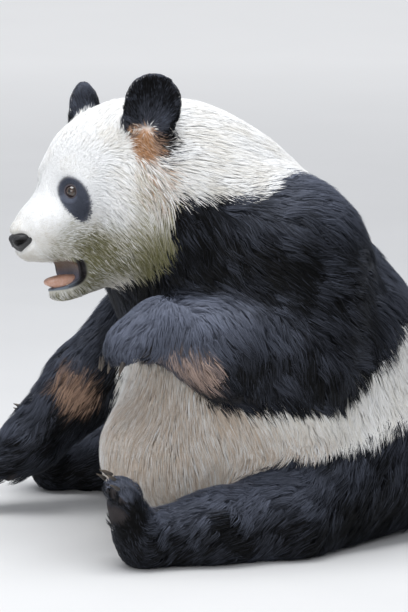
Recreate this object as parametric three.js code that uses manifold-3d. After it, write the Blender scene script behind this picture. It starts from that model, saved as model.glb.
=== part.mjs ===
// A giant panda that sits on its rump with both hind legs stretched forward, its right forepaw held
// just above the floor and its left forearm raised in front of the belly. Life size, in millimetres.
// +Z is up, the body faces -Y, its left side is +X, and it sits on the plane z = 0. Every surface is
// the outer surface of the coat.
//
// The flesh is an implicit body: round-ended cones and ellipsoids laid along a skeleton and blended
// into each other. Each named part is a stretch of that body, parted from its neighbours by thin cuts.
import * as THREE from "three";
import { mergeVertices } from "three/addons/utils/BufferGeometryUtils.js";
import Module from "manifold-3d";

const wasm = await Module();
wasm.setup();

// ---------------------------------------------------------------- driving dimensions
const GAP = 0.3; // clearance between two flat faces that touch
const ROUND_GAP = 0.6; // clearance between two rounded faces that touch
const HALF_SPACE = 4000; // side of a box that stands for half of space

// Spine, along the middle of the trunk from the seat to the back of the head: place and radius.
const SPINE = {
  seat: { at: [0, 200, 176], r: 190 },
  loin: { at: [0, 108, 288], r: 222 },
  thorax: { at: [0, 16, 424], r: 200 },
  withers: { at: [0, -60, 536], r: 173 },
  nape: { at: [0, -118, 596], r: 147 },
  atlas: { at: [6, -178, 620], r: 118 },
};
const TRUNK_WIDTH = 1.14; // how much wider than thick the trunk is
// Where the trunk is parted: under the shoulder band and under the nape.
const SEAMS = {
  chest: { at: [0, 100, 356], along: [0, -0.16, 1] },
  neck: { at: [0, 0, 586], along: [0, 0.05, 1] },
};

// Head: the middle of the line between the ear holes, and the head's turn on the neck, in degrees.
const HEAD = { at: [10, -200, 634], yaw: 10, roll: -9 };
const EAR = { at: [122, -11, 102], tall: 1.16, lean: -8, splay: 12, outward: 52 };
// Half of an ear's section, from the middle of its back round the rim to the middle of its cup:
// how far out and how far back.
const EAR_PROFILE = [
  [0, 20],
  [30, 15],
  [52, -5],
  [53, -12],
  [46, -12],
  [26, 2],
  [0, 6],
];
const EYE = { at: [42, -128, -28], radius: 14, depth: 5, outward: 34 };
const NOSE = { at: [0, -213, -105], size: [30, 22, 18] };
const TONGUE = { at: [0, -128, -176], size: [18, 46, 8], tilt: -3 };

// Limbs, from the trunk outwards: place and radius of each joint.
const LIMBS = {
  arm_left: {
    root: { at: [172, 50, 505], r: 122 },
    hinge: { at: [228, 52, 322], r: 90 },
    mid: { at: [222, -98, 350], r: 84 },
    end: { at: [204, -208, 392], r: 59 },
  },
  arm_right: {
    root: { at: [-168, 22, 510], r: 118 },
    hinge: { at: [-222, -86, 322], r: 84 },
    mid: { at: [-220, -198, 224], r: 75 },
    end: { at: [-214, -308, 122], r: 59 },
  },
  leg_left: {
    root: { at: [150, 205, 130], r: 132 },
    hinge: { at: [262, 10, 64], r: 78 },
    mid: { at: [268, -130, 58], r: 66 },
    end: { at: [265, -262, 48], r: 51 },
  },
  leg_right: {
    root: { at: [-150, 205, 130], r: 132 },
    hinge: { at: [-278, 20, 64], r: 78 },
    mid: { at: [-322, -104, 58], r: 66 },
    end: { at: [-354, -216, 48], r: 51 },
  },
};

// Paws: turn is the paw's Euler angles on its limb's end and curl is how far the toes bend, in degrees.
const PAWS = {
  arm_left: { turn: [12, 0, 2], curl: 44, palm: [46, 56, 36], toe: 16, reach: 36, claw: 34 },
  arm_right: { turn: [40, 0, -8], curl: -34, palm: [48, 58, 34], toe: 16, reach: 36, claw: 34 },
  leg_left: { turn: [-66, 0, -4], curl: 20, palm: [48, 66, 36], toe: 16, reach: 30, claw: 26 },
  leg_right: { turn: [-62, 0, -14], curl: 20, palm: [48, 62, 36], toe: 16, reach: 30, claw: 26 },
};
const TOES = 5;
const CLAW = { thick: 0.17, deep: 1.3, bend: 0.3, sink: 0.2 }; // shares of its length, width and toe
const TEETH = {
  count: 8,
  tooth: { long: 9, r: 3.4 },
  canine: { long: 16, r: 4.6 },
  spread: 1.1, // half of the arc, in radians
  upper: { at: [0, -144, -136], radius: 30, up: -1 },
  lower: { at: [0, -126, -196], radius: 28, up: 1 },
};
const TAIL = { at: [0, 386, 66], size: [46, 42, 74], tilt: 12 };

// Side of a polygonizer cell for each kind of part.
const CELL = { trunk: 62, limb: 42, paw: 24, head: 21, jaw: 18, tail: 34, cut: 120, neck: 66 };

// ---------------------------------------------------------------- implicit bodies
// A field is a function of x, y, z that is negative inside a body and grows by about 1 for each mm
// outwards.
const clamp01 = (t) => Math.min(1, Math.max(0, t));
const radians = THREE.MathUtils.degToRad;

function blendTwo(a, b, width) {
  const near = Math.max(width - Math.abs(a - b), 0) / width;
  return Math.min(a, b) - (near * near * width) / 4;
}

function blend(width, ...fields) {
  return (x, y, z) => {
    let d = fields[0](x, y, z);
    for (let i = 1; i < fields.length; i++) d = blendTwo(d, fields[i](x, y, z), width);
    return d;
  };
}

const minus = (field, hole, width) => (x, y, z) =>
  -blendTwo(-field(x, y, z), hole(x, y, z), width);
const difference = (a, b) => (x, y, z) => a(x, y, z) - b(x, y, z);

function placeOf(at, turn = [0, 0, 0]) {
  const euler = new THREE.Euler(...turn.map(radians), "ZYX");
  return new THREE.Matrix4().makeRotationFromEuler(euler).setPosition(...at);
}

// The same field in a frame of its own.
function placed(matrix, field) {
  const e = matrix.clone().invert().elements;
  return (x, y, z) =>
    field(
      e[0] * x + e[4] * y + e[8] * z + e[12],
      e[1] * x + e[5] * y + e[9] * z + e[13],
      e[2] * x + e[6] * y + e[10] * z + e[14],
    );
}

function ellipsoid(at, [a, b, c], turn) {
  return placed(placeOf(at, turn), (x, y, z) => {
    const k0 = Math.hypot(x / a, y / b, z / c);
    const k1 = Math.hypot(x / (a * a), y / (b * b), z / (c * c));
    return k1 > 1e-9 ? (k0 * (k0 - 1)) / k1 : -Math.min(a, b, c);
  });
}

// A round-ended cone from one joint to the next; width stretches it along X.
function cone(start, end, width = 1) {
  const [ax, ay, az] = start.at;
  const [bx, by, bz] = [end.at[0] - ax, end.at[1] - ay, end.at[2] - az];
  const length2 = bx * bx + by * by + bz * bz;
  return (x, y, z) => {
    const px = (x - ax) / width;
    const py = y - ay;
    const pz = z - az;
    const t = clamp01((px * bx + py * by + pz * bz) / length2);
    return Math.hypot(px - t * bx, py - t * by, pz - t * bz) - (start.r + t * (end.r - start.r));
  };
}

const chain = (width, joints, stretch) =>
  blend(width, ...joints.slice(1).map((joint, i) => cone(joints[i], joint, stretch)));

const SIDES = ["left", "right"];
const bothSides = (make) => [make(1), make(-1)]; // +X is left

// ---------------------------------------------------------------- from a field to a mesh
// Surface nets: one vertex in each cell that the surface crosses, evened out and moved onto the
// surface.
function skinOf(field, { low, high }, cell) {
  const n = low.map((v, i) => Math.ceil((high[i] - v) / cell) + 2);
  const step = [1, n[0], n[0] * n[1]];
  const id = (i, j, k) => i + n[0] * (j + n[1] * k);
  const values = new Float32Array(n[0] * n[1] * n[2]);
  for (let k = 0; k < n[2]; k++)
    for (let j = 0; j < n[1]; j++)
      for (let i = 0; i < n[0]; i++) {
        const border = !i || !j || !k || i === n[0] - 1 || j === n[1] - 1 || k === n[2] - 1;
        const value = field(low[0] + i * cell, low[1] + j * cell, low[2] + k * cell);
        values[id(i, j, k)] = border ? Math.max(value, cell / 4) : value;
      }
  fillPinches(values, n, step, cell);

  const vertexOf = new Int32Array(values.length).fill(-1);
  const points = [];
  const pinned = [];
  for (let k = 0; k < n[2] - 1; k++)
    for (let j = 0; j < n[1] - 1; j++)
      for (let i = 0; i < n[0] - 1; i++) {
        const corner = id(i, j, k);
        const sum = [0, 0, 0];
        let crossings = 0;
        for (let axis = 0; axis < 3; axis++)
          for (let side = 0; side < 4; side++) {
            const at = [0, 0, 0];
            at[(axis + 1) % 3] = side & 1;
            at[(axis + 2) % 3] = side >> 1;
            const start = corner + at[0] * step[0] + at[1] * step[1] + at[2] * step[2];
            const [a, b] = [values[start], values[start + step[axis]]];
            if (a < 0 === b < 0) continue;
            at[axis] = a / (a - b);
            for (let c = 0; c < 3; c++) sum[c] += at[c];
            crossings++;
          }
        if (!crossings) continue;
        const cellAt = [i, j, k];
        vertexOf[corner] = pinned.length;
        points.push(...sum.map((s, c) => low[c] + (cellAt[c] + s / crossings) * cell));
        pinned.push(cellAt.some((v, c) => v === 0 || v === n[c] - 2));
      }

  const quads = [];
  for (let k = 0; k < n[2] - 1; k++)
    for (let j = 0; j < n[1] - 1; j++)
      for (let i = 0; i < n[0] - 1; i++)
        for (let axis = 0; axis < 3; axis++) {
          const at = id(i, j, k);
          const [a, b] = [values[at], values[at + step[axis]]];
          if (a < 0 === b < 0) continue;
          const u = step[(axis + 1) % 3];
          const v = step[(axis + 2) % 3];
          const ring = [at - u - v, at - v, at, at - u].map((c) => vertexOf[c]);
          quads.push(a < 0 ? ring : ring.reverse());
        }
  evenOut(field, points, quads, pinned, cell);
  return new THREE.BufferGeometry()
    .setAttribute("position", new THREE.Float32BufferAttribute(points, 3))
    .setIndex(quads.flatMap((quad) => split(points, quad)));
}

// Fills the corners where two pieces would meet only along an edge or at a point, so that the
// surface stays simple.
function fillPinches(values, n, step, cell) {
  const inside = (v) => values[v] < 0;
  const fill = (a, b) => {
    values[values[a] < values[b] ? a : b] = -cell / 20;
  };
  for (let changed = true; changed; ) {
    changed = false;
    for (let k = 1; k < n[2] - 2; k++)
      for (let j = 1; j < n[1] - 2; j++)
        for (let i = 1; i < n[0] - 2; i++) {
          const v = i + n[0] * (j + n[1] * k);
          for (let axis = 0; axis < 3; axis++) {
            const b = v + step[axis];
            const c = v + step[(axis + 1) % 3];
            const d = b + c - v;
            if (inside(v) !== inside(d) || inside(b) !== inside(c) || inside(v) === inside(b)) continue;
            if (inside(v)) fill(b, c);
            else fill(v, d);
            changed = true;
          }
          const cube = [0, 1, 2, 3, 4, 5, 6, 7].map((m) =>
            v + (m & 1) * step[0] + ((m >> 1) & 1) * step[1] + (m >> 2) * step[2]);
          const count = cube.filter(inside).length;
          for (let m = 0; m < 4; m++) {
            const [p, q] = [cube[m], cube[7 - m]];
            const lonePair = count === 2 && inside(p) && inside(q);
            const holePair = count === 6 && !inside(p) && !inside(q);
            if (lonePair) fill(cube[m ^ 1], cube[m ^ 2]);
            if (holePair) fill(p, q);
            changed ||= lonePair || holePair;
          }
        }
  }
}

// Draws each vertex towards the middle of its neighbours and back onto the surface, a few times over.
function evenOut(field, points, quads, pinned, cell) {
  const around = pinned.map(() => new Set());
  for (const quad of quads)
    quad.forEach((v, i) => {
      around[v].add(quad[(i + 1) % 4]);
      around[v].add(quad[(i + 3) % 4]);
    });
  const pull = 0.45;
  for (let round = 0; round < 4; round++) {
    const before = [...points];
    pinned.forEach((fixed, v) => {
      if (fixed) return;
      for (let c = 0; c < 3; c++) {
        let mean = 0;
        for (const w of around[v]) mean += before[3 * w + c] / around[v].size;
        points[3 * v + c] += pull * (mean - before[3 * v + c]);
      }
      settle(field, points, 3 * v, cell);
    });
  }
}

// Moves one vertex down the field's slope until it lies on the surface, by at most a third of a cell.
function settle(field, points, at, cell) {
  const start = points.slice(at, at + 3);
  const p = [...start];
  const reach = cell / 20;
  for (let round = 0; round < 3; round++) {
    const value = field(...p);
    const slope = [0, 1, 2].map((c) => {
      const onward = p.map((v, i) => (i === c ? v + reach : v));
      return (field(...onward) - value) / reach;
    });
    const steep = slope.reduce((sum, g) => sum + g * g, 0);
    if (steep < 0.05) break;
    for (let c = 0; c < 3; c++) p[c] -= (0.9 * value * slope[c]) / steep;
  }
  const moved = Math.hypot(p[0] - start[0], p[1] - start[1], p[2] - start[2]);
  const share = Math.min(1, cell / 3 / Math.max(moved, 1e-9));
  for (let c = 0; c < 3; c++) points[at + c] = start[c] + share * (p[c] - start[c]);
}

// Two triangles from a ring of four points, along its shorter diagonal.
function split(points, [p, q, r, s]) {
  const apart = (a, b) => Math.hypot(...[0, 1, 2].map((c) => points[3 * a + c] - points[3 * b + c]));
  return apart(p, r) < apart(q, s) ? [p, q, r, p, r, s] : [p, q, s, q, r, s];
}

// ---------------------------------------------------------------- solids
function solidOf(geometry) {
  const bare = geometry.clone();
  for (const name of Object.keys(bare.attributes)) if (name !== "position") bare.deleteAttribute(name);
  const merged = mergeVertices(bare, 1e-4);
  const vertProperties = new Float32Array(merged.attributes.position.array);
  const triVerts = new Uint32Array(merged.index.array);
  return new wasm.Manifold(new wasm.Mesh({ numProp: 3, vertProperties, triVerts }));
}

function geometryOf(solid) {
  const { vertProperties, triVerts } = solid.getMesh();
  return new THREE.BufferGeometry()
    .setAttribute("position", new THREE.BufferAttribute(vertProperties, 3))
    .setIndex(new THREE.BufferAttribute(triVerts, 1));
}

const bodyOf = (field, box, cell) => solidOf(skinOf(field, box, cell));

// The same solid with its whole surface moved outwards.
function grown(solid, by = ROUND_GAP) {
  const geometry = geometryOf(solid);
  geometry.computeVertexNormals();
  const { position, normal } = geometry.attributes;
  for (let v = 0; v < position.count; v++)
    position.setXYZ(
      v,
      position.getX(v) + by * normal.getX(v),
      position.getY(v) + by * normal.getY(v),
      position.getZ(v) + by * normal.getZ(v),
    );
  return solidOf(geometry);
}

// Half of space: what lies ahead of a point, in the direction of ahead, less half the clearance.
function halfSpace(at, ahead, clearance = GAP / 2) {
  const n = new THREE.Vector3(...ahead).normalize();
  const turn = new THREE.Quaternion().setFromUnitVectors(new THREE.Vector3(0, 0, 1), n);
  const middle = new THREE.Vector3(...at).addScaledVector(n, clearance + HALF_SPACE / 2);
  const place = new THREE.Matrix4().makeRotationFromQuaternion(turn).setPosition(middle);
  return solidOf(new THREE.BoxGeometry(HALF_SPACE, HALF_SPACE, HALF_SPACE).applyMatrix4(place));
}

const ahead = (solid, { at, along }) => solid.intersect(halfSpace(at, along));
const behind = (solid, { at, along }) => solid.intersect(halfSpace(at, along.map((v) => -v)));
const onFloor = (solid) => solid.intersect(halfSpace([0, 0, 0], [0, 0, 1], 0));

// The biggest piece, without the crumbs that a cut may leave.
const biggest = (solid) => solid.decompose().sort((a, b) => b.volume() - a.volume())[0];

const between = (a, b, t) => a.map((v, i) => v + t * (b[i] - v));
const wayFrom = (a, b) => b.map((v, i) => v - a[i]);
const boxAround = (at, reach) => ({ low: at.map((v) => v - reach), high: at.map((v) => v + reach) });

const FINISH = {
  coat_white: { color: 0xe6e1d8, roughness: 0.9 },
  coat_black: { color: 0x1f1e21, roughness: 0.85 },
  nose: { color: 0x141416, roughness: 0.45 },
  eye: { color: 0x24160f, roughness: 0.08 },
  claw: { color: 0x5b5348, roughness: 0.5 },
  mouth: { color: 0xb96a62, roughness: 0.5 },
};
const panda = new THREE.Group();

function addPart(name, solid, finish) {
  const geometry = geometryOf(biggest(solid));
  geometry.computeVertexNormals();
  const material = new THREE.MeshStandardMaterial({ ...FINISH[finish], metalness: 0 });
  const mesh = new THREE.Mesh(geometry, material);
  mesh.name = name;
  panda.add(mesh);
}

// ---------------------------------------------------------------- trunk, neck and limbs
const trunkField = blend(
  70,
  chain(60, Object.values(SPINE), TRUNK_WIDTH),
  ellipsoid([0, -54, 126], [206, 196, 134]), // the belly that lies between the thighs
  ellipsoid([0, 32, 262], [262, 196, 188]), // the flanks above it
  ellipsoid([0, -90, 455], [150, 118, 150]), // breast
);

// A limb blends widely where it grows out of the trunk and narrowly where it only lies against it.
// The blend fades over a distance from the limb's root that is counted in that root's radii.
const LIMB_BLEND = { narrow: 20, wide: 100, fade: 1.7 };

function joined(body, limb, { at, r }) {
  const { narrow, wide, fade } = LIMB_BLEND;
  return (x, y, z) => {
    const away = Math.hypot(x - at[0], y - at[1], z - at[2]) / r;
    const width = narrow + (wide - narrow) * clamp01(fade - away);
    return blendTwo(body(x, y, z), limb(x, y, z), width);
  };
}

const limbFields = {};
let torsoField = trunkField;
for (const [name, { root, hinge, mid, end }] of Object.entries(LIMBS)) {
  limbFields[name] = chain(30, [root, hinge, mid, end]);
  torsoField = joined(torsoField, cone(root, hinge), root);
}

// ---------------------------------------------------------------- head
const headPlace = placeOf(HEAD.at, [0, HEAD.roll, HEAD.yaw]);
const inHead = (geometry) => solidOf(geometry.applyMatrix4(headPlace));
const skull = blend(
  34,
  ellipsoid([0, -4, 5], [124, 146, 110]), // braincase
  ...bothSides((s) => ellipsoid([s * 74, -24, -70], [84, 88, 98])), // cheeks
  ...bothSides((s) => ellipsoid([s * 48, -28, -106], [64, 76, 58])), // ruff below them
  ...bothSides((s) => ellipsoid([s * 46, -90, -22], [46, 56, 40])), // brows
  cone({ at: [0, -48, -134], r: 46 }, { at: [0, -104, -164], r: 38 }), // root of the jaw
  cone({ at: [0, -106, -46], r: 71 }, { at: [0, -164, -86], r: 52 }), // bridge of the nose
  cone({ at: [0, -130, -98], r: 54 }, { at: [0, -184, -105], r: 42 }), // muzzle
);
const socketed = bothSides((s) => ellipsoid([s * 60, -158, -28], [26, 20, 24])).reduce(
  (body, socket) => minus(body, socket, 26),
  skull,
);
const mouthHole = ellipsoid([0, -188, -163], [52, 76, 26]);
const headShape = minus(socketed, mouthHole, 8);
const jawShape = minus(
  blend(
    20,
    cone({ at: [0, -70, -160], r: 40 }, { at: [0, -142, -190], r: 20 }),
    ellipsoid([0, -150, -193], [36, 34, 15]),
  ),
  mouthHole,
  8,
);
const headField = placed(headPlace, headShape);
const headAndTorso = blend(46, headField, torsoField);

// A ball or an ovoid with few faces.
const ovoid = (at, size, turn) =>
  new THREE.SphereGeometry(1, 10, 6).scale(...size).applyMatrix4(placeOf(at, turn));

// Where a straight way out of a body comes to a given depth below its surface.
function below(field, start, way, depth) {
  const at = new THREE.Vector3(...start);
  const length = 0.25;
  while (field(...at.toArray()) < -depth) at.addScaledVector(way, length);
  return at.toArray();
}

// Front teeth in an arc, with a longer canine at each end; up is 1 for the lower jaw and -1 for
// the upper.
function withTeeth(bone, { at, radius, up }) {
  const { count, spread } = TEETH;
  let toothed = bone;
  for (let i = 0; i < count; i++) {
    const { long, r } = i === 0 || i === count - 1 ? TEETH.canine : TEETH.tooth;
    const turn = ((2 * i) / (count - 1) - 1) * spread;
    const tooth = new THREE.ConeGeometry(r, long, 6)
      .rotateX((up * Math.PI) / 2)
      .translate(radius * Math.sin(turn), -radius * Math.cos(turn), (up * long) / 2)
      .translate(...at);
    toothed = toothed.add(inHead(tooth));
  }
  return toothed;
}

// An ear is a thick round cup, open to the front and outwards. Its root goes into the head.
function earOf(side) {
  const { at, tall, lean, splay, outward } = EAR;
  const profile = EAR_PROFILE.map(([out, back]) => new THREE.Vector2(out, back)).reverse();
  const cup = new THREE.LatheGeometry(profile, 14);
  const place = placeOf([side * at[0], at[1], at[2]], [lean, side * splay, side * outward]);
  return inHead(cup.scale(1, 1, tall).applyMatrix4(place));
}

// The region that belongs to the head: all that is nearer to it than to the trunk.
const HEAD_BOX = { low: [-200, -480, 360], high: [220, 0, 860] };
const headRegion = bodyOf(difference(headField, torsoField), HEAD_BOX, CELL.neck);
let head = bodyOf(headAndTorso, HEAD_BOX, CELL.head).intersect(headRegion);

const nose = inHead(ovoid(NOSE.at, NOSE.size));
const eyes = bothSides((side) => {
  const turn = radians(EYE.outward);
  const way = new THREE.Vector3(side * Math.sin(turn), -Math.cos(turn), 0);
  const at = below(headShape, [side * EYE.at[0], EYE.at[1], EYE.at[2]], way, EYE.depth);
  return inHead(ovoid(at, [EYE.radius, EYE.radius, EYE.radius]));
});
const tongue = inHead(ovoid(TONGUE.at, TONGUE.size, [TONGUE.tilt, 0, 0]));
const ears = bothSides(earOf);
for (const piece of [nose, tongue, ...eyes, ...ears]) head = head.subtract(grown(piece));
const jawBox = { low: [-100, -460, 380], high: [150, -150, 560] };
let jaw = bodyOf(placed(headPlace, jawShape), jawBox, CELL.jaw);
for (const piece of [grown(head), head, grown(tongue)]) jaw = jaw.subtract(piece);
head = withTeeth(head, TEETH.upper);
jaw = withTeeth(jaw, TEETH.lower);

addPart("head", head, "coat_white");
addPart("lower_jaw", jaw, "coat_white");
addPart("nose", nose, "nose");
addPart("tongue", tongue, "mouth");
eyes.forEach((eye, i) => addPart(`eye_${SIDES[i]}`, eye, "eye"));
ears.forEach((ear, i) => addPart(`ear_${SIDES[i]}`, ear, "coat_black"));

// ---------------------------------------------------------------- paws
// In a paw's own frame the wrist or heel is the origin, the toes point to -Y and the back of the
// paw faces +Z. Knuckles: how far in from the side, ahead, high, back at the sides, down at the
// sides, and how far the toes fan out.
const KNUCKLES = { inset: 0.55, ahead: 1.4, high: 2, back: 15, drop: 6, fan: 5 };

function toeOf({ palm, toe, reach, curl }, index) {
  const across = (2 * index) / (TOES - 1) - 1; // -1 at one side of the paw, 1 at the other
  const bend = radians(curl);
  const knuckle = [
    across * (palm[0] - toe * KNUCKLES.inset),
    -palm[1] * KNUCKLES.ahead + KNUCKLES.back * across * across,
    KNUCKLES.high - KNUCKLES.drop * across * across,
  ];
  const tip = [
    knuckle[0] + KNUCKLES.fan * across,
    knuckle[1] - reach * Math.cos(bend),
    knuckle[2] - reach * Math.sin(bend),
  ];
  return { knuckle, tip, bend };
}

function pawShape(paw) {
  const { palm, toe } = paw;
  const toes = Array.from({ length: TOES }, (_, i) => {
    const { knuckle, tip } = toeOf(paw, i);
    return cone({ at: knuckle, r: toe * 1.1 }, { at: tip, r: toe * 0.9 });
  });
  return blend(
    14,
    ellipsoid([0, -palm[1] * 0.72, 0], palm),
    cone({ at: [0, 0, 0], r: palm[0] }, { at: [0, -palm[1], -2], r: palm[2] }),
    ...toes,
  );
}

// A claw is a slim cone that bends down along an arc. Its root goes into the toe, above the pad.
function clawOf(paw, index) {
  const { toe, claw } = paw;
  const shape = new THREE.ConeGeometry(claw * CLAW.thick, claw, 4, 2)
    .rotateX(Math.PI)
    .translate(0, -claw / 2, 0);
  const { position } = shape.attributes;
  for (let v = 0; v < position.count; v++) {
    const along = position.getY(v) / claw;
    position.setZ(v, position.getZ(v) * CLAW.deep - along * along * claw * CLAW.bend);
  }
  const { tip, bend } = toeOf(paw, index);
  return shape.rotateX(bend).translate(tip[0], tip[1] - toe * CLAW.sink, tip[2] + toe * CLAW.sink);
}

// ---------------------------------------------------------------- parting the body
const TORSO_BOX = { low: [-460, -400, -60], high: [460, 460, 800] };
const LIMB_NODES = {
  arm: { upper: "upper_arm", lower: "forearm", paw: "forepaw" },
  leg: { upper: "thigh", lower: "shin", paw: "hindpaw" },
};
let torso = onFloor(bodyOf(headAndTorso, TORSO_BOX, CELL.trunk));
for (const piece of [headRegion, ...ears]) torso = torso.subtract(grown(piece));

for (const [name, { root, hinge, mid, end }] of Object.entries(LIMBS)) {
  const [kind, side] = name.split("_");
  const nodes = LIMB_NODES[kind];
  const middles = [between(root.at, hinge.at, 0.5), between(hinge.at, mid.at, 0.5)];
  const hingeCut = { at: hinge.at, along: wayFrom(...middles) };
  const endCut = { at: end.at, along: wayFrom(mid.at, end.at) };

  const region = bodyOf(difference(limbFields[name], trunkField), TORSO_BOX, CELL.cut);
  const upper = behind(onFloor(bodyOf(headAndTorso, TORSO_BOX, CELL.limb)).intersect(region), hingeCut);
  const limb = onFloor(bodyOf(limbFields[name], TORSO_BOX, CELL.limb)).intersect(region);
  const lower = behind(ahead(limb, hingeCut), endCut);
  torso = torso.subtract(grown(region));

  const paw = PAWS[name];
  const pawPlace = placeOf(end.at, paw.turn);
  const pawField = blend(16, placed(pawPlace, pawShape(paw)), cone(mid, end));
  const pawSolid = ahead(onFloor(bodyOf(pawField, boxAround(end.at, 190), CELL.paw)), endCut);
  addPart(`${nodes.upper}_${side}`, upper, "coat_black");
  addPart(`${nodes.lower}_${side}`, lower, "coat_black");
  addPart(`${nodes.paw}_${side}`, pawSolid, "coat_black");
  const pawGrown = grown(pawSolid);
  for (let i = 0; i < TOES; i++) {
    const claw = solidOf(clawOf(paw, i).applyMatrix4(pawPlace)).subtract(pawGrown);
    addPart(`claw_${kind}_${side}_${i + 1}`, onFloor(claw), "claw");
  }
}

// The tail hangs down behind the rump.
const tailField = ellipsoid(TAIL.at, TAIL.size, [TAIL.tilt, 0, 0]);
const tail = onFloor(bodyOf(tailField, boxAround(TAIL.at, 120), CELL.tail));
torso = torso.subtract(grown(tail));
addPart("tail", tail, "coat_white");

// What is left is parted into abdomen, chest and neck.
addPart("abdomen", behind(torso, SEAMS.chest), "coat_white");
addPart("chest", behind(ahead(torso, SEAMS.chest), SEAMS.neck), "coat_black");
addPart("neck", ahead(torso, SEAMS.neck), "coat_white");

// The model's origin is the middle of its seat, on the floor.
const seated = new THREE.Group();
seated.position.set(-SPINE.seat.at[0], -SPINE.seat.at[1], 0);
seated.add(panda);
export default seated;
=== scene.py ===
import math

import bpy
import numpy as np
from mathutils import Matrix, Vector
from mathutils.bvhtree import BVHTree
from mathutils.kdtree import KDTree


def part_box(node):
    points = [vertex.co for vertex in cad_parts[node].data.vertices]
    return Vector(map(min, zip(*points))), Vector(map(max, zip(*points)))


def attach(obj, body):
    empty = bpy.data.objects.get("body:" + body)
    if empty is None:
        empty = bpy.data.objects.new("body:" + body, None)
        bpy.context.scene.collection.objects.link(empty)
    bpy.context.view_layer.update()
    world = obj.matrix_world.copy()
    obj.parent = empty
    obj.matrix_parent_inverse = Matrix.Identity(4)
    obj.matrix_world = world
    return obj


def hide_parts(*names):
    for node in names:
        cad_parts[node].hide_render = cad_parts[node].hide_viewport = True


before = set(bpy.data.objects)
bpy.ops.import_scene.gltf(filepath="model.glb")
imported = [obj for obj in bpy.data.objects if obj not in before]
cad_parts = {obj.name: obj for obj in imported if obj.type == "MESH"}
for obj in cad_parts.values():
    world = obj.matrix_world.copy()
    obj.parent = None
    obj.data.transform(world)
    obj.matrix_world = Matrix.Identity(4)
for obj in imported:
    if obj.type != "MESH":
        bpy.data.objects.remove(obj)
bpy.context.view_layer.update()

bpy.ops.object.select_all(action="DESELECT")


# ------------------------------------------------------------------ camera
# Looks at the panda's left side from slightly ahead and a little above, from far away with a long
# lens, so that the near and the far paw keep their true sizes.
AIM = Vector((0.058, -0.280, 0.398))
AZIMUTH = math.radians(70)
ELEVATION = math.radians(10)
DISTANCE = 7.0
LENS = 238.8  # in millimetres, as the sensor
SENSOR = 36.0
SIGHT = 60.0

away = Vector((
    math.sin(AZIMUTH) * math.cos(ELEVATION),
    -math.cos(AZIMUTH) * math.cos(ELEVATION),
    math.sin(ELEVATION),
))
bpy.ops.object.camera_add(
    location=AIM + DISTANCE * away,
    rotation=away.to_track_quat("Z", "Y").to_euler(),
)
camera = bpy.context.object
camera.name = "camera"
camera.data.lens = LENS
camera.data.sensor_width = SENSOR
camera.data.clip_end = SIGHT
bpy.context.scene.camera = camera
bpy.context.scene.view_settings.view_transform = "Standard"


# ------------------------------------------------------------------ studio
# A wide pale matt floor under a large soft lamp overhead, a weaker one on the camera's side and an
# even pale sky. Far from the panda the floor glows a little to the camera, as a lit backdrop does.
FLOOR_HALF = 40.0
FAR_GLOW = 0.42
GLOW_FROM = 1.2  # how far from the origin the glow starts, and where it is full
GLOW_FULL = 7.0


def feed(tree, socket, value):
    """Sets a socket to a number or a colour, or links another socket to it."""
    if isinstance(value, bpy.types.NodeSocket):
        tree.links.new(value, socket)
    else:
        socket.default_value = (*value, 1.0) if isinstance(value, tuple) else value


def added(tree, kind, output, **values):
    """Adds a node and returns an output. Names in lower case are its settings, others its inputs."""
    node = tree.nodes.new("ShaderNode" + kind)
    for name, value in values.items():
        if name.islower():
            setattr(node, name, value)
        else:
            feed(tree, node.inputs[name.replace("_", " ")], value)
    return node.outputs[output]


def new_material(name, **inputs):
    """A material with a plain Principled shader. Returns the material, its tree and its shader."""
    material = bpy.data.materials.new(name)
    material.use_nodes = True
    shader = material.node_tree.nodes["Principled BSDF"]
    for socket, value in inputs.items():
        feed(material.node_tree, shader.inputs[socket.replace("_", " ")], value)
    return material, material.node_tree, shader


bpy.ops.mesh.primitive_plane_add(size=2 * FLOOR_HALF, location=(0, 0, 0))
floor = bpy.context.object
floor.name = "floor"

floor_paint, tree, shader = new_material("floor_paint", Roughness=0.9, Specular_IOR_Level=0.2)
where = added(tree, "TexCoord", "Object")
grain = added(tree, "TexNoise", "Fac", Vector=where, Scale=3.0, Detail=4.0)
shade = added(tree, "MapRange", "Result", Value=grain, To_Min=0.70, To_Max=0.76)
feed(tree, shader.inputs["Base Color"], shade)
off = added(tree, "VectorMath", "Value", operation="LENGTH", Vector=where)
glow = added(tree, "MapRange", "Result", Value=off, From_Min=GLOW_FROM, From_Max=GLOW_FULL, To_Max=FAR_GLOW)
feed(tree, shader.inputs["Emission Strength"], glow)
feed(tree, shader.inputs["Emission Color"], added(tree, "LightPath", "Is Camera Ray"))
floor.data.materials.append(floor_paint)

world = bpy.data.worlds.new("sky")
world.use_nodes = True
sky = world.node_tree.nodes["Background"].inputs
sky["Color"].default_value = (0.86, 0.89, 0.95, 1.0)
sky["Strength"].default_value = 0.51
bpy.context.scene.world = world

LIT_PLACE = Vector((0, -0.25, 0.4))
for name, place, watts in (("lamp_top", (0.1, -0.5, 3.4), 106), ("lamp_side", (3.0, -2.2, 1.8), 38)):
    turn = (Vector(place) - LIT_PLACE).to_track_quat("Z", "Y").to_euler()
    bpy.ops.object.light_add(type="AREA", location=place, rotation=turn)
    lamp = bpy.context.object
    lamp.name = name
    lamp.data.shape = "SQUARE"
    lamp.data.size = 2.4
    lamp.data.energy = watts
    lamp.data.color = (0.98, 0.99, 1.0)


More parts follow.
